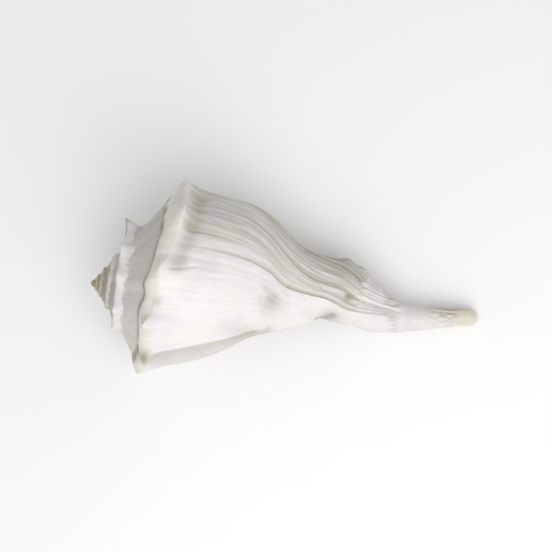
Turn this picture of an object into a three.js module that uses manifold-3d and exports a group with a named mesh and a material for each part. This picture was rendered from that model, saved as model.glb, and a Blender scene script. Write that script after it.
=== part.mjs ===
import * as THREE from 'three';
import { mergeVertices } from 'three/addons/utils/BufferGeometryUtils.js';
import Module from 'manifold-3d';

// A left-handed whelk shell, lying on its mouth. Lengths are in millimetres.
// It is worked out upright in its own terms: `s` runs along the coiling axis from
// the apex to the tip of the canal, and `turn` counts growth in whole whorls, 0 on
// the shell's back, 0.25 on the side of the outer lip, 0.5 underneath.

const SHELL_LENGTH = 200;
const SHOULDER_RADIUS = 57;
const SHOULDER_TURN = 0.25;
const WHORL_GROWTH = 1.85;
const APEX_SLOPE = 0.78;
const SPIRE_FLATTENING = 0.16;
const FLATTENING_TURNS = [-2, -0.8];
const BODY_DROP = 0.17;
const DROP_TURNS = [-0.45, -0.05];
const SPIRE_WHORLS = 4;

const LIP_TURN = 0.385;
const KNOBS_PER_WHORL = 11;
const FIRST_KNOB_TURN = 0.222;
const KNOB_HEIGHT = 0.075;
const KNOB_SHARPNESS = 1.5;
const KEEL_DIP = 0.03;
const KNOB_HOOK = 0.05;
const KNOB_REACH_UP = 0.16;
const KNOB_REACH_DOWN = 0.3;
const SUTURE_SHARE = 0.07;
const FOOT_SHARE = 0.96;

const WALL = 3.2;
const THINNEST = 0.2;
const CALLUS = 0.7;
const MOUTH_START = 2.6 * WALL;
const MOUTH_DEPTH = 0.62;
const MOUTH_OVERSHOOT = 0.012;
const MOUTH_END = 150;
const CANAL_START = 112;
const CANAL_FULL = 150;
const CANAL_THINNEST = 0.1;
const TIP_ROUNDING = 4.5;
const GUTTER_START = 96;
const GUTTER_FULL = 132;
const GUTTER_SPREAD = 0.15;
const GUTTER_FLOOR = 0.3;
const CUT_MARGIN = 3;

const REST_PITCH = THREE.MathUtils.degToRad(11.08);
const REST_ROLL = THREE.MathUtils.degToRad(16.3);

const APEX_BALL = 1.9;
const APEX_SEGMENTS = [12, 8];
const STEPS_PER_KNOB = 6;
const FEWEST_STEPS = 2;
const WEDGES = 3;
const SUNK_SCALE = 0.85;
const MOUTH_STEPS = 26;
const GUTTER_STEPS_ACROSS = 5;
const GUTTER_STEPS_ALONG = 22;

// Flank of the body whorl as a share of the shoulder radius, against the share of
// the way from the shoulder to the canal tip: on the lip side, and half a whorl
// earlier on the far side.
const LIP_SIDE = [
  [0, 1], [0.04, 0.94], [0.1, 0.9], [0.17, 0.862], [0.22, 0.826], [0.3, 0.7],
  [0.4, 0.485], [0.46, 0.435], [0.55, 0.405], [0.6, 0.34], [0.66, 0.205],
  [0.73, 0.09], [0.78, 0.055], [0.9, 0.066], [1, 0.082],
];
const FAR_SIDE = [
  [0, 1], [0.06, 0.94], [0.16, 0.826], [0.23, 0.69], [0.31, 0.49], [0.4, 0.37],
  [0.53, 0.196], [0.6, 0.22], [0.69, 0.286], [0.8, 0.235], [0.9, 0.155], [1, 0.085],
];

// How much earlier or later than the middle of the two sides a whorl's flank may be.
const FIRST_STAGE = -1.6;
const LAST_STAGE = 1.3;

// Shoulder ramp from the suture (0) to the keel (1), as a share of the rise. The keel
// is a broad cord with a step at its foot, which dies away towards the lip.
const STEPPED_RAMP = [
  [0, 0], [0.1, 0.05], [0.39, 0.36], [0.55, 0.53], [0.62, 0.57], [0.68, 0.83],
  [0.8, 0.94], [0.9, 0.98], [1, 1],
];
const SMOOTH_RAMP = [
  [0, 0], [0.18, 0.11], [0.33, 0.26], [0.476, 0.45], [0.62, 0.64], [0.77, 0.825],
  [0.9, 0.95], [1, 1],
];
const STEP_FADES = [0.1, 0.22];

// The keel does not run quite true: it swings along the axis from knob to knob.
const KEEL_SWING = [
  [-0.24, 0], [-0.14, 1.2], [-0.05, -1.2], [0.03, 0.4], [0.12, 4], [0.2, 1.6], [0.3, 0],
];

// How far round the shell the edge of the outer lip sits, in turns, along the axis.
const LIP_EDGE = [
  [0, LIP_TURN], [55, LIP_TURN], [90, 0.35], [126, 0.262], [154, 0.258], [182, 0.36],
  [SHELL_LENGTH, 0.4],
];

// Smooth curve through a list of [x, y] points.
function curveAt(points, x) {
  const last = points.length - 1;
  let i = 0;
  while (i < last - 1 && x > points[i + 1][0]) i += 1;
  const [x0, y0] = points[i];
  const [x1, y1] = points[i + 1];
  const rise = (y1 - y0) / (x1 - x0);
  const slopeAt = (k) => {
    if (k <= 0 || k >= last) return rise;
    const before = (points[k][1] - points[k - 1][1]) / (points[k][0] - points[k - 1][0]);
    const after = (points[k + 1][1] - points[k][1]) / (points[k + 1][0] - points[k][0]);
    return before * after <= 0 ? 0 : (2 * before * after) / (before + after);
  };
  const t = THREE.MathUtils.clamp((x - x0) / (x1 - x0), 0, 1);
  const width = x1 - x0;
  const keep = 2 * t ** 3 - 3 * t ** 2 + 1;
  const lean0 = (t ** 3 - 2 * t ** 2 + t) * width * slopeAt(i);
  const lean1 = (t ** 3 - t ** 2) * width * slopeAt(i + 1);
  return keep * y0 + (1 - keep) * y1 + lean0 + lean1;
}

// Logarithmic spiral of the shoulder keel.
function keelRadius(turn) {
  return SHOULDER_RADIUS * WHORL_GROWTH ** (turn - SHOULDER_TURN);
}

function keelPlace(turn) {
  const flattened = SPIRE_FLATTENING * THREE.MathUtils.smoothstep(turn, ...FLATTENING_TURNS);
  const dropped = BODY_DROP * THREE.MathUtils.smoothstep(turn, ...DROP_TURNS);
  const swing = turn < KEEL_SWING[0][0] ? 0 : curveAt(KEEL_SWING, turn);
  return keelRadius(turn) * (APEX_SLOPE - flattened + dropped) + swing;
}

function suturePlace(turn) {
  const above = keelPlace(turn - 1);
  return above + SUTURE_SHARE * (keelPlace(turn) - above);
}

// Height of the knob row at a turn, from 0 between two knobs to 1 on a knob.
function knobAt(turn) {
  const wave = Math.cos((turn - FIRST_KNOB_TURN) * KNOBS_PER_WHORL * 2 * Math.PI);
  return Math.max(0, 0.5 + 0.5 * wave) ** KNOB_SHARPNESS;
}

function sideRadius(side, turn, s) {
  const keel = keelPlace(turn);
  return keelRadius(turn) * curveAt(side, (s - keel) / (SHELL_LENGTH - keel));
}

// The canal is round, and its centre wanders from side to side of the axis.
function canalRadius(s, turn) {
  const lipSide = sideRadius(LIP_SIDE, SHOULDER_TURN, s);
  const farSide = sideRadius(FAR_SIDE, SHOULDER_TURN - 0.5, s);
  const radius = (lipSide + farSide) / 2;
  const offset = (lipSide - farSide) / 2;
  const angle = turn * 2 * Math.PI;
  const across = radius ** 2 - (offset * Math.cos(angle)) ** 2;
  return offset * Math.sin(angle) + Math.sqrt(Math.max(across, CANAL_THINNEST ** 2));
}

function flankRadius(s, turn) {
  const keel = keelPlace(turn);
  const along = (s - keel) / (SHELL_LENGTH - keel);
  const lipSide = curveAt(LIP_SIDE, along);
  const farSide = curveAt(FAR_SIDE, along);
  const stage = THREE.MathUtils.clamp(2 * (turn + SHOULDER_TURN), FIRST_STAGE, LAST_STAGE);
  const body = keelRadius(turn) * farSide * (lipSide / farSide) ** stage;
  const canal = THREE.MathUtils.smoothstep(s, CANAL_START, CANAL_FULL);
  const tip = Math.max(0, s - SHELL_LENGTH + TIP_ROUNDING) / TIP_ROUNDING;
  const round = Math.sqrt(Math.max(0, 1 - tip ** 2));
  return (body * (1 - canal) + canalRadius(s, turn) * canal) * round;
}

function rampRadius(s, turn) {
  const start = suturePlace(turn);
  const foot = keelRadius(turn - 1) * FOOT_SHARE;
  const share = (s - start) / (keelPlace(turn) - start);
  const smooth = THREE.MathUtils.smoothstep(turn, ...STEP_FADES);
  const rise = THREE.MathUtils.lerp(
    curveAt(STEPPED_RAMP, share),
    curveAt(SMOOTH_RAMP, share),
    smooth,
  );
  return foot + (keelRadius(turn) - foot) * rise;
}

function outerRadius(s, turn) {
  return s < keelPlace(turn) ? rampRadius(s, turn) : flankRadius(s, turn);
}

// How strongly the keel's knobs and dips show at a place, from 0 to its radius.
function keelReach(s, turn) {
  const away = (s - keelPlace(turn)) / keelRadius(turn);
  const reach = away < 0 ? KNOB_REACH_UP : KNOB_REACH_DOWN;
  return Math.max(0, 1 - Math.abs(away) / reach) ** 2 * keelRadius(turn);
}

// The keel dips between its knobs, and each knob leans towards the apex.
function withKnob(s, radius, turn) {
  const near = keelReach(s, turn);
  const lift = knobAt(turn) * near;
  return { s: s - lift * KNOB_HOOK, radius: radius + lift * KNOB_HEIGHT - near * KEEL_DIP };
}

function place(s, radius, turn) {
  const angle = turn * 2 * Math.PI;
  return [s, radius * Math.sin(angle), radius * Math.cos(angle)];
}

function lipLag(s) {
  return LIP_TURN - curveAt(LIP_EDGE, s);
}

// Places along the axis where one section of a whorl has its points.
const RAMP_SHARES = [0, 0.2, 0.39, 0.55, 0.62, 0.68, 0.8, 0.9, 1];
const FLANK_SHARES = [
  0.02, 0.05, 0.1, 0.16, 0.22, 0.28, 0.34, 0.4, 0.46, 0.52, 0.58, 0.63, 0.68, 0.74, 0.8,
  0.88, 0.95, 0.975, 0.99, 1,
];
const SHORT_SHARES = [0.02, 0.06, 0.12];

function sectionPlaces(turn, flankShares) {
  const start = suturePlace(turn);
  const keel = keelPlace(turn);
  const ramp = RAMP_SHARES.map((share) => start + share * (keel - start));
  const flank = flankShares.map((share) => keel + share * (SHELL_LENGTH - keel));
  return [...ramp, ...flank];
}

// Closed solid between an inner and an outer line on each of a row of sections.
function loft(sections) {
  const points = [];
  const faces = [];
  const count = sections[0].outer.length;
  const ring = 2 * count;
  sections.forEach(({ inner, outer }) => points.push(...outer, ...[...inner].reverse()));
  for (let i = 0; i < sections.length - 1; i += 1) {
    for (let k = 0; k < ring; k += 1) {
      const a = i * ring + k;
      const b = i * ring + ((k + 1) % ring);
      faces.push([a, b, b + ring], [a, b + ring, a + ring]);
    }
  }
  const end = (sections.length - 1) * ring;
  for (let k = 0; k < count - 1; k += 1) {
    const across = ring - 1 - k;
    faces.push([k, across, across - 1], [k, across - 1, k + 1]);
    faces.push([end + k, end + across - 1, end + across]);
    faces.push([end + k, end + k + 1, end + across - 1]);
  }
  return { points, faces };
}

function toManifold(wasm, { points, faces }) {
  const geometry = new THREE.BufferGeometry();
  geometry.setAttribute('position', new THREE.Float32BufferAttribute(points.flat(), 3));
  geometry.setIndex(faces.flat());
  return geometryToManifold(wasm, geometry);
}

function geometryToManifold(wasm, geometry) {
  geometry.deleteAttribute('normal');
  geometry.deleteAttribute('uv');
  const merged = mergeVertices(geometry, 1e-4);
  const index = merged.index.array;
  const kept = [];
  for (let i = 0; i < index.length; i += 3) {
    const [a, b, c] = [index[i], index[i + 1], index[i + 2]];
    if (a !== b && b !== c && c !== a) kept.push(a, b, c);
  }
  const mesh = new wasm.Mesh({
    numProp: 3,
    vertProperties: Float32Array.from(merged.attributes.position.array),
    triVerts: Uint32Array.from(kept),
  });
  return new wasm.Manifold(mesh);
}

// Surface points of one section, with the whole section leaning like the lip.
function sectionOutline(shoulderTurn, flankShares, scale) {
  return sectionPlaces(shoulderTurn, flankShares).map((s) => {
    const turn = shoulderTurn - lipLag(s);
    const spot = withKnob(s, outerRadius(s, turn), turn);
    return place(spot.s, spot.radius * scale, turn);
  });
}

// One whole whorl, ending at the given turn and solid to the axis, joined from wedges.
// The ends of a wedge are drawn in a little and sunk in its neighbours, but for the lip.
function whorl(wasm, end, stepsPerKnob, flankShares) {
  const wedgeSteps = Math.round((KNOBS_PER_WHORL * stepsPerKnob) / WEDGES);
  const steps = wedgeSteps * WEDGES;
  const inner = sectionPlaces(end - 1, flankShares).map((s) => [s, 0, 0]);
  const section = (i, scale) => ({
    inner,
    outer: sectionOutline(end - 1 + i / steps, flankShares, scale),
  });
  let solid = null;
  for (let i = 0; i < WEDGES; i += 1) {
    const first = i * wedgeSteps;
    const rows = [section(first - 1, SUNK_SCALE)];
    for (let k = 0; k <= wedgeSteps; k += 1) rows.push(section(first + k, 1));
    if (i < WEDGES - 1 || end < LIP_TURN) rows.push(section(first + wedgeSteps + 1, SUNK_SCALE));
    const wedge = toManifold(wasm, loft(rows));
    solid = solid ? solid.add(wedge) : wedge;
  }
  return solid;
}

// Floor of the hollow: the whorl before with its callus, and further on the bed of
// the canal.
function mouthFloor(s, turn) {
  const before = withKnob(s, outerRadius(s, turn - 1), turn - 1).radius + CALLUS;
  const bed = GUTTER_FLOOR * canalRadius(Math.min(s, SHELL_LENGTH), turn);
  const canal = THREE.MathUtils.smoothstep(s, GUTTER_START, GUTTER_FULL);
  return before * (1 - canal) + bed * canal;
}

// Roof of the hollow: a wall's thickness under the lowest surface near it.
function mouthRoof(s, turn) {
  const around = [s - WALL, s, s + WALL].map((near) => outerRadius(near, turn));
  return Math.min(...around) - KEEL_DIP * keelReach(s, turn) - WALL;
}

// Places of the hollow's points, from the shoulder end to the canal end.
const MOUTH_SHARES = [0, 0.03, 0.07, 0.12, 0.2, 0.3, 0.4, 0.5, 0.6, 0.7, 0.8, 0.9, 1];

function mouthHollow(wasm) {
  const turns = MOUTH_DEPTH + MOUTH_OVERSHOOT;
  const sections = [];
  for (let i = 0; i <= MOUTH_STEPS; i += 1) {
    const shoulderTurn = LIP_TURN - MOUTH_DEPTH + (turns * i) / MOUTH_STEPS;
    const start = suturePlace(shoulderTurn) + MOUTH_START;
    const outer = [];
    const inner = [];
    MOUTH_SHARES.forEach((share) => {
      const s = start + share * (MOUTH_END - start);
      const turn = shoulderTurn - lipLag(s);
      const floor = mouthFloor(s, turn);
      inner.push(place(s, floor, turn));
      outer.push(place(s, Math.max(mouthRoof(s, turn), floor + THINNEST), turn));
    });
    sections.push({ inner, outer });
  }
  return toManifold(wasm, loft(sections));
}

// Slot that opens the canal underneath, from the mouth out through the tip.
function gutter(wasm) {
  const length = SHELL_LENGTH + CUT_MARGIN - GUTTER_START;
  const sections = [];
  for (let i = 0; i <= GUTTER_STEPS_ACROSS; i += 1) {
    const outer = [];
    const inner = [];
    for (let k = 0; k <= GUTTER_STEPS_ALONG; k += 1) {
      const s = GUTTER_START + (length * k) / GUTTER_STEPS_ALONG;
      const turn = curveAt(LIP_EDGE, s) + (GUTTER_SPREAD * i) / GUTTER_STEPS_ACROSS;
      const clear = canalRadius(Math.min(s, SHELL_LENGTH), turn) + CUT_MARGIN;
      inner.push(place(s, mouthFloor(s, turn), turn));
      outer.push(place(s, clear, turn));
    }
    sections.push({ inner, outer });
  }
  return toManifold(wasm, loft(sections));
}

function apexTip(wasm) {
  const ball = new THREE.SphereGeometry(APEX_BALL, ...APEX_SEGMENTS);
  ball.translate(APEX_BALL, 0, 0);
  return geometryToManifold(wasm, ball);
}

function shellSolid(wasm) {
  let solid = whorl(wasm, LIP_TURN, STEPS_PER_KNOB, FLANK_SHARES);
  for (let i = 1; i <= SPIRE_WHORLS; i += 1) {
    const stepsPerKnob = Math.max(FEWEST_STEPS, STEPS_PER_KNOB - 1 - i);
    solid = solid.add(whorl(wasm, LIP_TURN - i, stepsPerKnob, SHORT_SHARES));
  }
  solid = solid.add(apexTip(wasm)).subtract(mouthHollow(wasm)).subtract(gutter(wasm));
  const bySize = solid.decompose().sort((a, b) => b.volume() - a.volume());
  return bySize[0];
}

function toGeometry(solid) {
  const { vertProperties, triVerts } = solid.getMesh();
  const geometry = new THREE.BufferGeometry();
  geometry.setAttribute('position', new THREE.Float32BufferAttribute(vertProperties, 3));
  geometry.setIndex([...triVerts]);
  return geometry;
}

// Laid down on the lip, the belly and the tip of the canal, over the middle.
function layDown(geometry) {
  geometry.rotateX(REST_ROLL);
  geometry.rotateY(REST_PITCH);
  geometry.computeBoundingBox();
  const { min, max } = geometry.boundingBox;
  geometry.translate(-(min.x + max.x) / 2, -(min.y + max.y) / 2, -min.z);
}

const wasm = await Module();
wasm.setup();

const shellGeometry = toGeometry(shellSolid(wasm));
layDown(shellGeometry);
shellGeometry.computeVertexNormals();
const shellMaterial = new THREE.MeshStandardMaterial({
  color: 0xf2f0ec, roughness: 0.45, metalness: 0,
});
const shell = new THREE.Mesh(shellGeometry, shellMaterial);
shell.name = 'shell';

const part = new THREE.Group();
part.name = 'whelk_shell';
part.add(shell);

export default part;
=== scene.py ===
from math import pi, radians

import bpy
import numpy as np
from mathutils import Matrix, Vector, noise


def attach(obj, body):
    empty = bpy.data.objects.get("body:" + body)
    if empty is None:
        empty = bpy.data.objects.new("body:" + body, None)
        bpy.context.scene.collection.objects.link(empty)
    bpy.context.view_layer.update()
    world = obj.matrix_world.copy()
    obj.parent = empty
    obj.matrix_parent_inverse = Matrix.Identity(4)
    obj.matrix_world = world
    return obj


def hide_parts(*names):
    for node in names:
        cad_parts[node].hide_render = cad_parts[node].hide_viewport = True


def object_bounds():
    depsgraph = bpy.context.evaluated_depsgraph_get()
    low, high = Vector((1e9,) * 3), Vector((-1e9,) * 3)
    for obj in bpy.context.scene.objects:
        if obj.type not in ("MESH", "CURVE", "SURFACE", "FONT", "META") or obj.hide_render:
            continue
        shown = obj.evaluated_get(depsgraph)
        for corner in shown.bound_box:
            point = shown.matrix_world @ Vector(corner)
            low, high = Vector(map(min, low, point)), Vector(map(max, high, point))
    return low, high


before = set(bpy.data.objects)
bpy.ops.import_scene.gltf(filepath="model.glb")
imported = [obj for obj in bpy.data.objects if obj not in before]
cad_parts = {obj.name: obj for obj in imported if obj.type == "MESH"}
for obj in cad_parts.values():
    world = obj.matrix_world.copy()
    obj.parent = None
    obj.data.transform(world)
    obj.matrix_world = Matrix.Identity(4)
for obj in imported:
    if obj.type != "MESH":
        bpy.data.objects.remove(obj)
cad_low, cad_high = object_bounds()
bpy.ops.object.select_all(action="DESELECT")


# The coil. The shell of a lightning whelk is aragonite, laid down only along its
# outer lip, so each whorl is the one before it made larger and the keel of the
# shoulder is a logarithmic spiral. This kind coils to the left.
CAD_LENGTH_IN_MM = 196.27
mm = (cad_high[0] - cad_low[0]) / CAD_LENGTH_IN_MM
shell_length = 200 * mm
shoulder_radius = 57 * mm
whorl_growth = 1.85
lip_turn = 0.385

# Places are given by `s`, in metres along the coiling axis from the apex, and by
# `turn`, the growth in whorls: 0 on the back, and 0.25 on the lip's side.


def smoothstep(low, high, x):
    share = np.clip((x - low) / (high - low), 0, 1)
    return share * share * (3 - 2 * share)


def through(points, x):
    """Smooth curve through (x, y) points, level where it turns."""
    at, height = np.array(points, float).T
    width = np.diff(at)
    rise = np.diff(height) / width
    slope = np.zeros(len(at))
    slope[0], slope[-1] = rise[0], rise[-1]
    before, after = rise[:-1], rise[1:]
    steady = before * after > 0
    mean = 2 * before * after / np.where(steady, before + after, 1)
    slope[1:-1] = np.where(steady, mean, 0)
    x = np.clip(x, at[0], at[-1])
    i = np.clip(np.searchsorted(at, x, side="right") - 1, 0, len(width) - 1)
    t = (x - at[i]) / width[i]
    keep = 2 * t**3 - 3 * t**2 + 1
    lean = (t**3 - 2 * t**2 + t) * slope[i] + (t**3 - t**2) * slope[i + 1]
    return keep * height[i] + (1 - keep) * height[i + 1] + lean * width[i]


def keel_radius(turn):
    return shoulder_radius * whorl_growth ** (turn - 0.25)


# How far along the axis the keel lies, as a share of its radius: the spire widens
# slowly at the apex, is flatter below it, and drops again on the body whorl.
APEX_SLOPE = 0.78
SPIRE_FLATTENING = 0.16
BODY_DROP = 0.17

# The keel does not run quite true: it swings from one knob to the next, in (turn,
# millimetres away from the apex).
KEEL_SWING = [
    (-0.24, 0), (-0.14, 1.2), (-0.05, -1.2), (0.03, 0.4), (0.12, 4), (0.2, 1.6), (0.3, 0),
]
SUTURE_SHARE = 0.07


def keel_place(turn):
    slope = APEX_SLOPE - SPIRE_FLATTENING * smoothstep(-2, -0.8, turn)
    slope = slope + BODY_DROP * smoothstep(-0.45, -0.05, turn)
    swing = np.where(turn < KEEL_SWING[0][0], 0, through(KEEL_SWING, turn)) * mm
    return keel_radius(turn) * slope + swing


def suture_place(turn):
    """Where a whorl meets the one before it, just below that one's keel."""
    above = keel_place(turn - 1)
    return above + SUTURE_SHARE * (keel_place(turn) - above)


# The body whorl's flank and the canal, from the shoulder (0) to the tip (1), as a
# share of the shoulder radius: on the lip's side, and half a whorl before it.
LIP_SIDE = [
    (0, 1), (0.04, 0.94), (0.1, 0.9), (0.17, 0.862), (0.22, 0.826), (0.3, 0.7),
    (0.4, 0.485), (0.46, 0.435), (0.55, 0.405), (0.6, 0.34), (0.66, 0.205),
    (0.73, 0.09), (0.78, 0.055), (0.9, 0.066), (1, 0.082),
]
FAR_SIDE = [
    (0, 1), (0.06, 0.94), (0.16, 0.826), (0.23, 0.69), (0.31, 0.49), (0.4, 0.37),
    (0.53, 0.196), (0.6, 0.22), (0.69, 0.286), (0.8, 0.235), (0.9, 0.155), (1, 0.085),
]


CANAL_START = 112 * mm
CANAL_ROUND = 150 * mm
TIP_ROUNDING = 4.5 * mm
LEAST_RADIUS = 0.1 * mm


def side_radius(side, turn, s):
    place = keel_place(turn)
    return keel_radius(turn) * through(side, (s - place) / (shell_length - place))


def canal_radius(s, turn):
    """Radius of the round canal, whose centre wanders off the axis."""
    lip_side = side_radius(LIP_SIDE, 0.25, s)
    far_side = side_radius(FAR_SIDE, -0.25, s)
    radius = (lip_side + far_side) / 2
    offset = (lip_side - far_side) / 2
    angle = 2 * pi * turn
    across = np.maximum(radius**2 - (offset * np.cos(angle)) ** 2, LEAST_RADIUS**2)
    return offset * np.sin(angle) + np.sqrt(across)


def flank_radius(s, turn):
    """Radius below the keel: the flank passes into the round canal and its tip."""
    place = keel_place(turn)
    along = (s - place) / (shell_length - place)
    lip_side = through(LIP_SIDE, along)
    far_side = through(FAR_SIDE, along)
    stage = np.clip(2 * (turn + 0.25), -1.6, 1.3)
    body = keel_radius(turn) * far_side * (lip_side / far_side) ** stage
    canal = smoothstep(CANAL_START, CANAL_ROUND, s)
    tip = np.maximum(0, s - shell_length + TIP_ROUNDING) / TIP_ROUNDING
    rounding = np.sqrt(np.maximum(0, 1 - tip**2))
    return (body * (1 - canal) + canal_radius(s, turn) * canal) * rounding


# Shoulder ramp from the suture (0) to the keel (1), as a share of the rise. The
# keel is a broad cord with a step at its foot, which dies away towards the lip.
STEPPED_RAMP = [
    (0, 0), (0.1, 0.05), (0.39, 0.36), (0.55, 0.53), (0.62, 0.57), (0.68, 0.83),
    (0.8, 0.94), (0.9, 0.98), (1, 1),
]
SMOOTH_RAMP = [
    (0, 0), (0.18, 0.11), (0.33, 0.26), (0.476, 0.45), (0.62, 0.64), (0.77, 0.825),
    (0.9, 0.95), (1, 1),
]


RAMP_WOBBLE = 0.03
RAMP_FOOT_SHARE = 0.96
STEP_FADES = (0.1, 0.22)


def ramp_share(s, turn):
    """How far down the ramp a point is, with a slow wobble along the whorl."""
    start = suture_place(turn)
    share = (s - start) / (keel_place(turn) - start)
    swing = np.sin(22 * pi * turn + 2 * np.sin(40 * turn)) + 0.5 * np.sin(90 * turn)
    return share + RAMP_WOBBLE * np.sin(pi * np.clip(share, 0, 1)) * swing


def ramp_radius(s, turn):
    foot = keel_radius(turn - 1) * RAMP_FOOT_SHARE
    share = ramp_share(s, turn)
    smooth = smoothstep(*STEP_FADES, turn)
    rise = through(STEPPED_RAMP, share) * (1 - smooth) + through(SMOOTH_RAMP, share) * smooth
    return foot + (keel_radius(turn) - foot) * rise


def outer_radius(s, turn):
    return np.where(s < keel_place(turn), ramp_radius(s, turn), flank_radius(s, turn))


# Growth lines. The shell is laid down in thin lines, and each is where the lip once
# stood. They run straight from the shoulder, bend back across the waist, and cross
# the canal as rings.

# A point's `age` is in degrees of growth at the shoulder. It is read between four
# old edges of the lip, as (millimetres from the apex, degrees round the axis).
OLD_LIPS = {
    30: [
        (0, 30), (77, 29), (90, 27), (101, 17), (120, 12), (134, -8), (153, -14), (160, -75),
    ],
    64: [
        (0, 64), (77, 63), (89, 60), (100, 49), (112, 37), (127, 31), (134, 17), (153, -5),
        (160, -45),
    ],
    100: [
        (0, 100), (80, 98), (105, 88), (125, 73), (134, 55), (142, 38), (152, 36), (160, 5),
    ],
    139: [(0, 139), (55, 139), (90, 126), (126, 94), (154, 93), (160, 80)],
}


def growth_age(s, turn):
    degrees = 360 * turn
    edges = [through(points, s / mm) for points in OLD_LIPS.values()]
    ages = list(OLD_LIPS)
    age = ages[0] + degrees - edges[0]
    for i in range(len(ages) - 1):
        share = np.clip((degrees - edges[i]) / (edges[i + 1] - edges[i]), 0, None)
        within = ages[i] + share * (ages[i + 1] - ages[i])
        age = np.where(degrees > edges[i], within, age)
    # past the waist a line is a ring: its age no longer changes round the canal
    rings = 60 + 1.3 * (s / mm - 157) + 0.02 * degrees
    return age + (rings - age) * smoothstep(150, 165, s / mm)


def wander(x, y=0.0, seed=0.0):
    """Smooth random wave between about -1 and 1, about one unit to a bump."""
    x, y = np.broadcast_arrays(np.asarray(x, float), y)
    flat = zip(x.ravel(), y.ravel())
    heights = [noise.noise(Vector((a, b, seed))) for a, b in flat]
    return np.array(heights).reshape(x.shape) * 1.6


def near_line(line, s, across):
    """How far each point is from a line of (s, across) points, and how far along."""
    best = np.full(np.shape(s), 1e9)
    share = np.zeros(np.shape(s))
    for i, ((s0, a0), (s1, a1)) in enumerate(zip(line, line[1:])):
        run, rise = s1 - s0, a1 - a0
        t = np.clip(((s - s0) * run + (across - a0) * rise) / (run**2 + rise**2), 0, 1)
        away = np.hypot(s - s0 - t * run, across - a0 - t * rise)
        share = np.where(away < best, (i + t) / (len(line) - 1), share)
        best = np.minimum(best, away)
    return best, share


def fading_ridge(line, s, across, width, height):
    """A ridge (or a groove, if height is negative) that dies out at its ends."""
    away, share = near_line(line, s, across)
    ends = smoothstep(0, 0.12, share) * smoothstep(1, 0.75, share)
    return height * np.exp(-((away / width) ** 2)) * ends


# Knobs of the shoulder, as (turn, height, width in degrees, hook to the apex). The
# last ones are named by where they sit; the rest follow at the same spacing.
KNOB_SPACING = 1 / 11
FIRST_KNOB = 0.222
KEEL_DIP = 0.03
BODY_KNOBS = [
    (FIRST_KNOB, 3.0, 11, 1.2), (0.131, 5.6, 8, -0.8), (0.034, 3.9, 6.5, 1.4),
    (-0.055, 6.3, 5.5, 3.6), (-0.143, 5.2, 7.5, 1.2), (-0.236, 3.6, 9, 1.5),
]
SPIRE_KNOBS = [
    (-0.775, 6.0, 4.2, 3.4), (-0.885, 3.6, 7, 1.4), (-0.97, 2.2, 7, 0.8),
    (-1.075, 3.4, 7, 1.2), (-1.165, 3.2, 7, 1.2),
]


def knobs():
    """All the knobs, whose height and hook shrink with the whorl they sit on."""
    shown = BODY_KNOBS + SPIRE_KNOBS
    rows = list(shown)
    for i in range(-60, 3):
        turn = FIRST_KNOB + i * KNOB_SPACING
        if all(abs(turn - other[0]) > KNOB_SPACING / 2 for other in shown):
            size = whorl_growth ** (turn - 0.25)
            rows.append((turn, 3.5 * size, 9, 1.3 * size))
    return [row for row in rows if row[0] < lip_turn + 0.05]


def knob_shift(s, turn):
    """Outward and towards-the-apex shift of the surface by the knobs."""
    keel = keel_place(turn)
    reach = keel_radius(turn)
    above = np.exp(-(((s - keel) / (0.085 * reach)) ** 2))
    below = np.exp(-np.maximum(s - keel, 0) / (0.15 * reach))
    near = np.where(s < keel, above, below)
    outward = -KEEL_DIP * reach * near
    hooked = np.zeros(np.shape(s))
    for place, height, width, hook in knobs():
        close = np.exp(-((360 * (turn - place) / width) ** 2)) * near
        outward += height * mm * close
        hooked += hook * mm * close**2
    return outward, hooked


# Marks on the body whorl's back, in millimetres along and across the axis.
SHOULDER_CREASE = [(42, 11), (50, 12), (58, 14)]
SHOULDER_VALLEY = [(53, 53), (53, 42), (51, 30), (47, 17), (45, 4)]
LOW_CREASE = [
    (33, -33), (40, -31), (49, -28.7), (63, -24.8), (77, -20), (84, -17), (95, -14.7),
]
WAIST_FOLD = [(116, -9.5), (119, -8), (123, -6.5), (128, -4)]
UPPER_BREAK_EDGE = [(88, 7), (91, 2), (93, -4), (90, -10), (91, -15)]
LOWER_BREAK_EDGE = [(97, 8), (101, 1), (100, -6), (103, -13)]


def below_crease(along, across):
    """1 just below the low crease, 0 above it and further down."""
    gap = through(LOW_CREASE, along) - across
    ends = smoothstep(32, 40, along) * smoothstep(100, 84, along)
    return smoothstep(-1.3, 1.0, gap) * np.exp(-np.maximum(gap, 0) / 10) * ends


# Heights of the fine relief, in millimetres, and the terraces of old lips, as (age,
# drop, millimetres from the apex where it starts).
RIDGE_HEIGHT = 0.68
FAINT_HEIGHT = 0.13
FAN_HEIGHT = 0.5
WRINKLE_HEIGHT = 0.22
SCRATCH_HEIGHT = 0.16
SWELLING_HEIGHT = 1.1
RING_HEIGHT = 0.2
TIP_RING_HEIGHT = 0.25
TERRACES = [(30, 0.55, 60), (64, 0.5, 85), (100, 0.7, 105), (46, 0.3, 70)]


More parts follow.
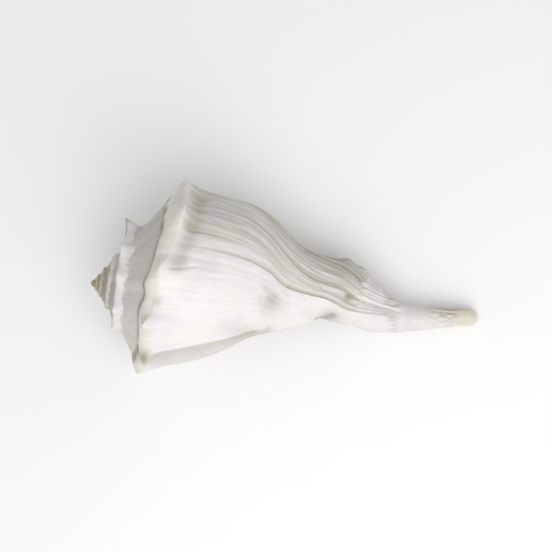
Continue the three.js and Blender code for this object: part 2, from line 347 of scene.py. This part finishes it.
def relief(s, turn):
    """Fine relief of the surface: growth lines, wrinkles, creases, old breaks."""
    radius = outer_radius(s, turn)
    along = s / mm
    across = radius * np.sin(2 * pi * turn) / mm
    back = smoothstep(-0.32, -0.27, turn)
    age = growth_age(s, turn)
    keel = keel_place(turn)
    size = keel_radius(turn) / shoulder_radius
    flank = smoothstep(0, 3 * mm, s - keel)
    canal = smoothstep(158, 165, along)

    # strong ridges on the later half of the whorl, faint ones on the smooth part
    rugged = smoothstep(20, 34, age) * (1 - canal)
    coarse = wander(age / 7.5, along / 45, 1.0) + 0.35 * wander(age / 2.6, along / 30, 2.0)
    faint = wander(age / 3.5, along / 70, 3.0)
    height = flank * (RIDGE_HEIGHT * rugged * coarse + FAINT_HEIGHT * (1 - rugged) * faint)

    # the edges of old lips, left as low terraces
    for edge, drop, first in TERRACES:
        edge_age = edge + 1.2 * wander(along / 9, 0, edge)
        terrace = smoothstep(-1.1, 1.1, age - edge_age) - smoothstep(0, 14, age - edge_age)
        height -= drop * terrace * smoothstep(first - 12, first + 8, along) * (1 - canal)

    # short folds that fan out from the shoulder
    fan = np.exp(-np.maximum(s - keel, 0) / (7 * mm)) * flank
    height += FAN_HEIGHT * fan * wander(age / 2.4, along / 30, 4.0) * smoothstep(24, 40, age)

    # wrinkles of the ramp, and scratches across them
    ramp = 1 - smoothstep(-2 * mm, 0, s - keel)
    height += WRINKLE_HEIGHT * size * ramp * wander(360 * turn / 2.6, along / 25, 5.0)
    height += SCRATCH_HEIGHT * size * ramp * wander(360 * turn / 40, along / (1.1 * size), 6.0)

    # two swellings of the lip where the mouth narrows into the canal
    swelling = np.exp(-(((along - 131) / 2.6) ** 2)) + np.exp(-(((along - 139) / 2.2) ** 2))
    height += SWELLING_HEIGHT * swelling * smoothstep(112, 130, age)

    # rings round the canal, closer and deeper at its tip
    ring = wander(along / 6, 0.6 * np.sin(2 * pi * turn), 7.0)
    height += canal * ring * (RING_HEIGHT + TIP_RING_HEIGHT * smoothstep(184, 190, along))

    # creases, folds and old breaks, on the back only
    if np.any(back):
        marks = fading_ridge(SHOULDER_CREASE, along, across, 0.8, -0.5)
        marks += fading_ridge(SHOULDER_VALLEY, along, across, 4.5, -1.3)
        marks -= 1.3 * below_crease(along, across)
        marks += fading_ridge(WAIST_FOLD, along, across, 1.8, -1.9)
        marks += fading_ridge(UPPER_BREAK_EDGE, along, across, 1.3, 1.1)
        marks += fading_ridge(LOWER_BREAK_EDGE, along, across, 1.1, 0.8)
        broken = smoothstep(84, 90, along) * smoothstep(108, 98, along)
        broken *= smoothstep(-20, -13, across) * smoothstep(12, 6, across)
        marks += 0.8 * broken * wander(along / 4.5, across / 6, 8.0)
        waist = smoothstep(104, 110, along) * smoothstep(124, 117, along)
        marks += 0.2 * waist * wander((along + across) / 2.0, across / 12, 9.0)
        height += back * marks
    return height * mm


def shell_surface(s, turn):
    """Surface with knobs and relief: its place along the axis and its radius."""
    outward, hooked = knob_shift(s, turn)
    radius = outer_radius(s, turn)
    fade = smoothstep(0, 3 * mm, shell_length - s)
    return s - hooked, radius + (outward + relief(s, turn)) * fade


def to_points(s, radius, turn):
    angle = 2 * pi * turn
    return np.stack([s, radius * np.sin(angle), radius * np.cos(angle)], axis=-1)


# The solid shell, one hard piece from the apex to the canal's tip. Each whorl is
# lofted from the coiling axis to its surface in two wedges, whose ends are sunk in
# their neighbours. No turned or bevelled primitive has a growing whorl's surface.
LIP_EDGE = [
    (0, lip_turn), (55, lip_turn), (90, 0.35), (126, 0.262), (154, 0.258), (182, 0.36), (200, 0.4),
]
SUNK_END = 0.85


def lip_lag(s):
    """How far the lip's edge lies behind its place at the shoulder, in whorls."""
    return lip_turn - through(LIP_EDGE, s / mm)


def loft(name, inner, outer):
    """Closed mesh between two grids of points, section by section."""
    sections, count = outer.shape[:2]
    ring = 2 * count
    points = np.concatenate([outer, inner[:, ::-1]], axis=1).reshape(-1, 3)
    here = np.arange(sections - 1)[:, None] * ring
    k = np.arange(ring)[None, :]
    following = (k + 1) % ring
    a, b = here + k, here + following
    walls = np.stack([a, b, b + ring, a + ring], axis=-1).reshape(-1, 4)
    end = (sections - 1) * ring
    k = np.arange(count - 1)
    across = ring - 1 - k
    first = np.stack([k, across, across - 1, k + 1], axis=-1)
    last = np.stack([end + k, end + k + 1, end + across - 1, end + across], axis=-1)
    mesh = bpy.data.meshes.new(name)
    mesh.from_pydata(points.tolist(), [], np.concatenate([walls, first, last]).tolist())
    made = bpy.data.objects.new(name, mesh)
    bpy.context.collection.objects.link(made)
    bpy.context.view_layer.objects.active = made
    made.select_set(True)
    bpy.ops.object.mode_set(mode="EDIT")
    bpy.ops.mesh.select_all(action="SELECT")
    bpy.ops.mesh.remove_doubles(threshold=0.002 * mm)
    bpy.ops.mesh.dissolve_degenerate(threshold=0.001 * mm)
    bpy.ops.object.mode_set(mode="OBJECT")
    made.select_set(False)
    return made


def combine(target, other, operation):
    """Joins or cuts one solid with another, which is then deleted."""
    bpy.context.view_layer.objects.active = target
    change = target.modifiers.new("combine", "BOOLEAN")
    change.operation = operation
    change.solver = "MANIFOLD"
    change.object = other
    bpy.ops.object.modifier_apply(modifier=change.name)
    bpy.data.objects.remove(other)


def section_places(turn, ramp_shares, flank_shares):
    """Places of a row of points, from the suture to the keel and on to the tip."""
    start = suture_place(turn)[:, None]
    keel = keel_place(turn)[:, None]
    ramp = start + ramp_shares * (keel - start)
    flank = keel + flank_shares * (shell_length - keel)
    return np.concatenate([ramp, flank], axis=1)


def wedge(name, turns, axis_turn, ramp_shares, flank_shares, open_end=False):
    """Solid sector of a whorl, from its axis to its surface."""
    step = turns[1] - turns[0]
    late = [] if open_end else [turns[-1] + step]
    rows = np.concatenate([[turns[0] - step], turns, late])
    s = section_places(rows, ramp_shares, flank_shares)
    turn = rows[:, None] - lip_lag(s)
    place, radius = shell_surface(s, turn)
    radius[0] *= SUNK_END
    if not open_end:
        radius[-1] *= SUNK_END
    axis = section_places(np.array([axis_turn]), ramp_shares, flank_shares)
    inner = to_points(np.repeat(axis, len(rows), axis=0), 0 * s, turn)
    return loft(name, inner, to_points(place, radius, turn))


def finer_to(count, power):
    """Shares from 0 to 1 that crowd towards 0."""
    return np.linspace(0, 1, count + 1)[1:] ** power


RAMP_SHARES = np.linspace(0, 1, 34)
BODY_SHARES = np.concatenate([finer_to(100, 1.12) * 0.975, [0.982, 0.989, 0.994, 0.998, 1]])
SHORT_SHARES = finer_to(6, 1.2) * 0.1
SPIRE_ROWS = [(110, 26), (70, 18), (46, 14), (30, 12)]
APEX_RADIUS = 1.9 * mm

start = lip_turn - 1
back_start = -0.3
body = wedge("shell_solid", np.linspace(start, back_start, 100), start, RAMP_SHARES, BODY_SHARES)
visible = np.linspace(back_start, lip_turn, 420)
combine(body, wedge("back", visible, start, RAMP_SHARES, BODY_SHARES, True), "UNION")
for i, (rows, ramp_rows) in enumerate(SPIRE_ROWS):
    end = start - i
    ramp_shares = np.linspace(0, 1, ramp_rows)
    for half in (0, 0.5):
        turns = np.linspace(end - 1 + half, end - 0.5 + half, rows)
        piece = wedge("whorl", turns, end - 1, ramp_shares, SHORT_SHARES)
        combine(body, piece, "UNION")
bpy.ops.mesh.primitive_uv_sphere_add(
    segments=24,
    ring_count=16,
    radius=APEX_RADIUS,
    location=(APEX_RADIUS, 0, 0),
)
combine(body, bpy.context.object, "UNION")


# The hollow. The mouth opens between the outer lip and the whorl before, which a
# thin callus coats, and narrows into a gutter along the underside of the canal. It
# is cut for a little over half a whorl, as far as the eye reaches.
WALL = 3.2 * mm
CALLUS = 0.7 * mm
MOUTH_DEPTH = 0.62
MOUTH_START = 2.6 * WALL
MOUTH_END = 150 * mm
LEAST_GAP = 0.2 * mm
GUTTER_START = 96 * mm
GUTTER_FULL = 132 * mm
GUTTER_WIDTH = 0.15
GUTTER_BED_SHARE = 0.3


def mouth_floor(s, turn):
    outward = knob_shift(s, turn - 1)[0]
    before = outer_radius(s, turn - 1) + outward + CALLUS
    bed = GUTTER_BED_SHARE * canal_radius(np.minimum(s, shell_length), turn)
    canal = smoothstep(GUTTER_START, GUTTER_FULL, s)
    return before * (1 - canal) + bed * canal


def mouth_roof(s, turn):
    around = [outer_radius(s + shift, turn) for shift in (-WALL, 0, WALL)]
    outward = knob_shift(s, turn)[0]
    return np.minimum.reduce(around) + np.minimum(outward, 0) - WALL


turns = np.linspace(lip_turn - MOUTH_DEPTH, lip_turn + 0.012, 100)[:, None]
start = suture_place(turns) + MOUTH_START
s = start + np.linspace(0, 1, 44) * (MOUTH_END - start)
turn = turns - lip_lag(s)
floor_radius = mouth_floor(s, turn)
roof_radius = np.maximum(mouth_roof(s, turn), floor_radius + LEAST_GAP)
hollow = loft("hollow", to_points(s, floor_radius, turn), to_points(s, roof_radius, turn))
combine(body, hollow, "DIFFERENCE")

past_surface = 3 * mm
s = np.linspace(GUTTER_START, shell_length + past_surface, 70)[None, :]
turn = through(LIP_EDGE, s / mm) + GUTTER_WIDTH * np.linspace(0, 1, 12)[:, None]
s = np.broadcast_to(s, turn.shape)
clear_radius = canal_radius(np.minimum(s, shell_length), turn) + past_surface
bed_radius = mouth_floor(s, turn)
gutter = loft("gutter", to_points(s, bed_radius, turn), to_points(s, clear_radius, turn))
combine(body, gutter, "DIFFERENCE")


# Age, stain and painted shade. Shell keeps the colour of the time when it was laid
# down, so every point of the finished solid gets its place in the growth, how grey,
# creamy, tan or streaked it is, and how much shade is painted on it. The material
# reads these as attributes.
shell = body
shell.name = shell.data.name = "whelk_shell"
mesh = shell.data
coords = np.empty(len(mesh.vertices) * 3)
mesh.vertices.foreach_get("co", coords)
coords = coords.reshape(-1, 3)
s = np.clip(coords[:, 0], 0, shell_length)
radius = np.hypot(coords[:, 1], coords[:, 2])
around = np.arctan2(coords[:, 1], coords[:, 2]) / (2 * pi)
best = np.full(len(s), 1e9)
turn = np.zeros(len(s))
for whorl in range(-1, len(SPIRE_ROWS) + 2):
    guess = around - whorl
    outward = knob_shift(s, guess)[0]
    away = np.abs(outer_radius(s, guess) + outward - radius)
    covers = (guess < lip_turn + 0.01) & (s > suture_place(guess) - 2 * mm) & (away < best)
    best = np.where(covers, away, best)
    turn = np.where(covers, guess, turn)
deeper_than_relief = smoothstep(2.4 * mm, 2.9 * mm, best)
inside = deeper_than_relief * smoothstep(13.5, 20.25, coords[:, 0] / mm)

age = growth_age(s, turn)
along = s / mm
across = coords[:, 1] / mm
keel_gap = (s - keel_place(turn)) / mm
on_back = smoothstep(-0.34, -0.3, turn)


def spot(at_along, at_across, size, stretch=1.0):
    """A soft round spot on the back, which may be longer along the axis: used both for tan stains
    and for patches of painted shade.
    """
    away = np.hypot((along - at_along) / stretch, across - at_across) / size
    return np.exp(-(away**2)) * on_back


def band(value, middle, width):
    """1 where the value is at the middle, falling to 0 on both sides."""
    return np.exp(-(((value - middle) / width) ** 2))


share = ramp_share(s, turn)
ramp = smoothstep(0.68, 0.62, share)
spire = 1 - smoothstep(-0.85, -0.6, turn)
apex = smoothstep(14, 4, along)

# grey and painted shade: the ramp, spire and apex greyer, a grey patch on the old break,
# and painted shade on the ramp's upper side, below the low crease and in the waist's fold
grey_and_painted_shade = 0.3 * ramp + 0.45 * spire * ramp + 0.3 * apex
# painted shade: the ramp darker towards its upper side
grey_and_painted_shade += 0.25 * smoothstep(-5, 40, across) * ramp
# painted shade below the low crease, where the surface turns away
grey_and_painted_shade += 0.22 * below_crease(along, across) * on_back
grey_and_painted_shade += 0.5 * spot(93, -1, 7, 0.8)
# painted shade in the waist's fold and at the low crease's end
grey_and_painted_shade += 0.45 * spot(124, -5.5, 3.5, 1.8)
grey_and_painted_shade += 0.35 * spot(84, -17, 4, 3)

# streaks of dull olive, which deepen on the older growth of the body whorl
streaked = 0.5 * smoothstep(28, 45, age) + 0.45 * smoothstep(60, 110, age)
streaked *= smoothstep(0, 5, keel_gap) * (0.35 + 0.65 * smoothstep(160, 146, along))

# cream film: above the keel, on the canal's tip, and along the first old lip
cream = 0.6 * band(keel_gap, -3, 3.5) * on_back
cream += 0.8 * smoothstep(186, 189, along)
cream += 0.55 * band(age, 33, 4) * smoothstep(75, 90, along) * smoothstep(160, 150, along)

# tan marks and painted shade: single tan spots, painted shade in the crease at the foot of
# the step and along the suture, and the edges of old lips
# painted shade: a dark line in the crease at the step's foot and along the suture
painted_step_shade = band(share, 0.645, 0.03) + 0.8 * band(share, 0, 0.05)
tan_and_painted_shade = 0.9 * spot(184, 2.5, 5.5, 1.3) + 1.0 * spot(132, 4.7, 2.2) + 0.5 * apex
tan_and_painted_shade += 0.7 * spot(33.5, -34, 3.4) + 0.45 * spot(38, -5.4, 2.6)
tan_and_painted_shade += 1.2 * painted_step_shade * smoothstep(0.3, 0.2, turn)
for edge, first in ((30, 85), (64, 80), (100, 95)):
    old_lip = band(age, edge + 0.8, 1.3)
    tan_and_painted_shade += 0.5 * old_lip * smoothstep(first - 15, first + 10, along) * smoothstep(158, 150, along)

attributes = {
    "growth": np.stack([age, along, relief(s, turn) / mm], axis=-1),
    "tint": np.stack([grey_and_painted_shade, cream, tan_and_painted_shade], axis=-1),
    "inside": np.stack([inside, streaked, 0 * age], axis=-1),
}
for name, columns in attributes.items():
    attribute = mesh.attributes.new(name, "FLOAT_VECTOR", "POINT")
    attribute.data.foreach_set("vector", columns.ravel())


# Laid down. The empty shell lies loose on its lip, its belly and the tip of its
# canal, turned as the CAD is, with the middle of its box over the origin.
CANAL_DIPS = radians(11.08)
BELLY_ROLLS = radians(16.3)
lay_down = Matrix.Rotation(CANAL_DIPS, 4, "Y") @ Matrix.Rotation(BELLY_ROLLS, 4, "X")
mesh.transform(lay_down)
coords = np.array([v.co for v in mesh.vertices])
low, high = coords.min(axis=0), coords.max(axis=0)
apex_place = Vector((-(low[0] + high[0]) / 2, -(low[1] + high[1]) / 2, -low[2]))
mesh.transform(Matrix.Translation(apex_place))
bpy.context.view_layer.objects.active = shell
shell.select_set(True)
bpy.ops.object.shade_smooth_by_angle(angle=radians(42))
shell.select_set(False)
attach(shell, "root")
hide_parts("shell")


# The bare shell. Beach-bleached aragonite has lost its horny skin and most of its
# colour: chalky and half matt, a little translucent, with olive grey in its streaks,
# dirt and painted shade in its pits, painted shade in its creases, and a warmer glaze
# inside the mouth.
def linear(code):
    """Linear colour of an sRGB hex value."""
    parts = [int(code[i : i + 2], 16) / 255 for i in (1, 3, 5)]
    return [c / 12.92 if c <= 0.04045 else ((c + 0.055) / 1.055) ** 2.4 for c in parts] + [1]


def node(tree, kind, links=(), values=(), **settings):
    """Adds a node with its settings, its input values and its links."""
    made = tree.nodes.new(kind)
    for name, value in settings.items():
        setattr(made, name, value)
    for key, value in dict(values).items():
        made.inputs[key].default_value = value
    for key, socket in dict(links).items():
        tree.links.new(socket, made.inputs[key])
    return made


material = bpy.data.materials.new("bleached_aragonite_shell")
material.use_nodes = True
tree = material.node_tree
tree.nodes.clear()
read = {}
for name in attributes:
    attribute = node(tree, "ShaderNodeAttribute", attribute_name=name)
    read[name] = attribute.outputs["Vector"]
depth = node(tree, "ShaderNodeSeparateXYZ", {"Vector": read["growth"]}).outputs[2]
# the tint's columns: grey with painted shade, cream film, and tan marks with painted shade
grey_and_shade_amount, film, marks = node(tree, "ShaderNodeSeparateXYZ", {"Vector": read["tint"]}).outputs
mouth = node(tree, "ShaderNodeSeparateXYZ", {"Vector": read["inside"]})

# Patterns that run along the growth lines, by the size of one bump: degrees of
# growth (about a millimetre each on the flank), millimetres along, and millimetres
# of relief.
patterns = {}
for name, bump_size, detail in (
    ("streaks", (10 / 3, 100 / 3, 10 / 3), 6.0),
    ("fine", (10 / 11, 10, 5), 4.0),
):
    scale = [1 / size for size in bump_size]
    place = node(tree, "ShaderNodeMapping", {"Vector": read["growth"]}, {"Scale": scale})
    noise_values = {"Scale": 1.0, "Detail": detail}
    pattern = node(tree, "ShaderNodeTexNoise", {"Vector": place.outputs[0]}, noise_values)
    patterns[name] = pattern.outputs[0]

# Patterns that lie anywhere, by the size of one bump in millimetres. The chalky
# grain of worn shell is finer than this, and is drawn as coarse as it needs to show.
place = node(tree, "ShaderNodeTexCoord").outputs["Object"]
for name, bump_size, detail in (("cloud", 100 / 7, 4.0), ("grain", 10 / 9, 3.0)):
    noise_values = {"Scale": 1000 / bump_size, "Detail": detail}
    pattern = node(tree, "ShaderNodeTexNoise", {"Vector": place}, noise_values)
    patterns[name] = pattern.outputs[0]

# Strengths read from a pattern: it, its low and high value, and what they give.
strength = {}
for name, socket, *levels in (
    ("cloudy", patterns["cloud"], 0.45, 0.7, 0.0, 1.0),
    ("uneven", patterns["streaks"], 0.35, 0.65, 0.75, 1.25),
    ("streaky", patterns["streaks"], 0.38, 0.62, 0.1, 1.1),
    ("thin", patterns["streaks"], 0.35, 0.6, 0.3, 1.0),
    ("fine", patterns["fine"], 0.5, 0.75, 0.0, 0.8),
    ("rugged", mouth.outputs[1], 0.0, 0.6, 0.25, 1.0),
    # dirt and painted shade in the hollows: darker where the relief is lower
    ("hollow_dirt_and_painted_shade", depth, -0.25, -1.6, 0.0, 0.6),
    ("roughness", patterns["cloud"], 0.3, 0.7, 0.36, 0.5),
):
    level = node(tree, "ShaderNodeMapRange", {0: socket}, dict(enumerate(levels, 1)))
    strength[name] = level.outputs[0]
for name, first, second in (
    ("grey_and_shade_amount", grey_and_shade_amount, strength["uneven"]),
    ("streaked", mouth.outputs[1], strength["streaky"]),
    ("film", film, strength["thin"]),
    ("lined", strength["fine"], strength["rugged"]),
):
    product = node(tree, "ShaderNodeMath", {0: first, 1: second}, operation="MULTIPLY")
    strength[name] = product.outputs[0]

# Colours laid one over another on the chalky white, painted shade among them.
CHALK_WHITE = linear("#E4E1DF")
colour = None
for code, amount in (
    ("#DED7DF", strength["cloudy"]),
    # grey, with painted shade on the ramp's upper side, below the crease and in the fold
    ("#A5A28F", strength["grey_and_shade_amount"]),
    ("#A9A692", strength["streaked"]),
    ("#DAD3BC", strength["film"]),
    # tan marks, with painted shade at the step's foot and along the suture
    ("#9A8E70", marks),
    ("#C3BEAD", strength["lined"]),
    # dirt and painted shade, darker where the relief is low
    ("#98937F", strength["hollow_dirt_and_painted_shade"]),
    ("#E2D2C0", mouth.outputs[0]),
):
    colours = {6: CHALK_WHITE, 7: linear(code)}
    layer = node(tree, "ShaderNodeMix", {0: amount}, colours, data_type="RGBA")
    if colour is not None:
        tree.links.new(colour, layer.inputs[6])
    colour = layer.outputs[2]

normal = None
for name, bump_strength, bump_height in (("fine", 0.4, 0.0006), ("grain", 0.25, 0.0001)):
    bump_values = {"Strength": bump_strength, "Distance": bump_height}
    bump = node(tree, "ShaderNodeBump", {"Height": patterns[name]}, bump_values)
    if normal is not None:
        tree.links.new(normal, bump.inputs["Normal"])
    normal = bump.outputs[0]
surface = node(
    tree,
    "ShaderNodeBsdfPrincipled",
    {"Base Color": colour, "Normal": normal, "Roughness": strength["roughness"]},
    {
        "IOR": 1.53,
        "Metallic": 0.0,
        "Subsurface Weight": 0.12,
        "Subsurface Radius": (1.0, 0.8, 0.65),
        "Subsurface Scale": 0.002,
    },
)
node(tree, "ShaderNodeOutputMaterial", {"Surface": surface.outputs[0]})
mesh.materials.clear()
mesh.materials.append(material)


# The studio: a wide sheet of pale matt paper under the shell, one large soft lamp
# over the back on the side away from the lip, and even white light from all round.
bpy.ops.mesh.primitive_plane_add(size=8, location=(0, 0, 0))
floor = bpy.context.object
floor.name = "floor"
paper = bpy.data.materials.new("pale_matt_paper")
paper.use_nodes = True
paper_surface = paper.node_tree.nodes["Principled BSDF"]
paper_surface.inputs["Base Color"].default_value = linear("#FDFDFD")
paper_surface.inputs["Roughness"].default_value = 0.9
floor.data.materials.append(paper)

back_way = lay_down.to_3x3() @ Vector((0, 0, 1))
axis_way = lay_down.to_3x3() @ Vector((1, 0, 0))
lip_way = lay_down.to_3x3() @ Vector((0, 1, 0))
lit_middle = Vector((0, 0, 0.04))
lamp_way = back_way * 0.88 - lip_way * 0.42 + axis_way * 0.22
lamp_distance = 1.1
lamp = bpy.data.lights.new("key_light", "AREA")
lamp.size = 0.9
lamp.energy = 7.8
key_light = bpy.data.objects.new("key_light", lamp)
bpy.context.collection.objects.link(key_light)
key_light.location = lit_middle + lamp_distance * lamp_way
key_light.rotation_euler = (-lamp_way).to_track_quat("-Z", "Y").to_euler()
world = bpy.data.worlds.new("studio")
world.use_nodes = True
surround = world.node_tree.nodes["Background"]
surround.inputs["Color"].default_value = (1, 1, 1, 1)
surround.inputs["Strength"].default_value = 0.6
bpy.context.scene.world = world
bpy.context.scene.view_settings.view_transform = "Standard"

# The camera looks square on to the coiling axis, from behind the shell's back, with
# the axis falling five degrees to the right.
axis_fall = radians(5.2)
right = axis_way * np.cos(axis_fall) + lip_way * np.sin(axis_fall)
up = lip_way * np.cos(axis_fall) - axis_way * np.sin(axis_fall)
aim_along = 94.6 * mm
aim_across = 12.2 * mm
target = apex_place + axis_way * aim_along + lip_way * aim_across
frame_width = 284.3 * mm
camera_data = bpy.data.cameras.new("camera")
camera_data.lens = 100
camera_data.clip_end = 20
distance = frame_width * camera_data.lens / camera_data.sensor_width
camera = bpy.data.objects.new("camera", camera_data)
bpy.context.collection.objects.link(camera)
rotation = Matrix((right, up, back_way)).transposed()
camera.matrix_world = Matrix.Translation(target + back_way * distance) @ rotation.to_4x4()
bpy.context.scene.camera = camera
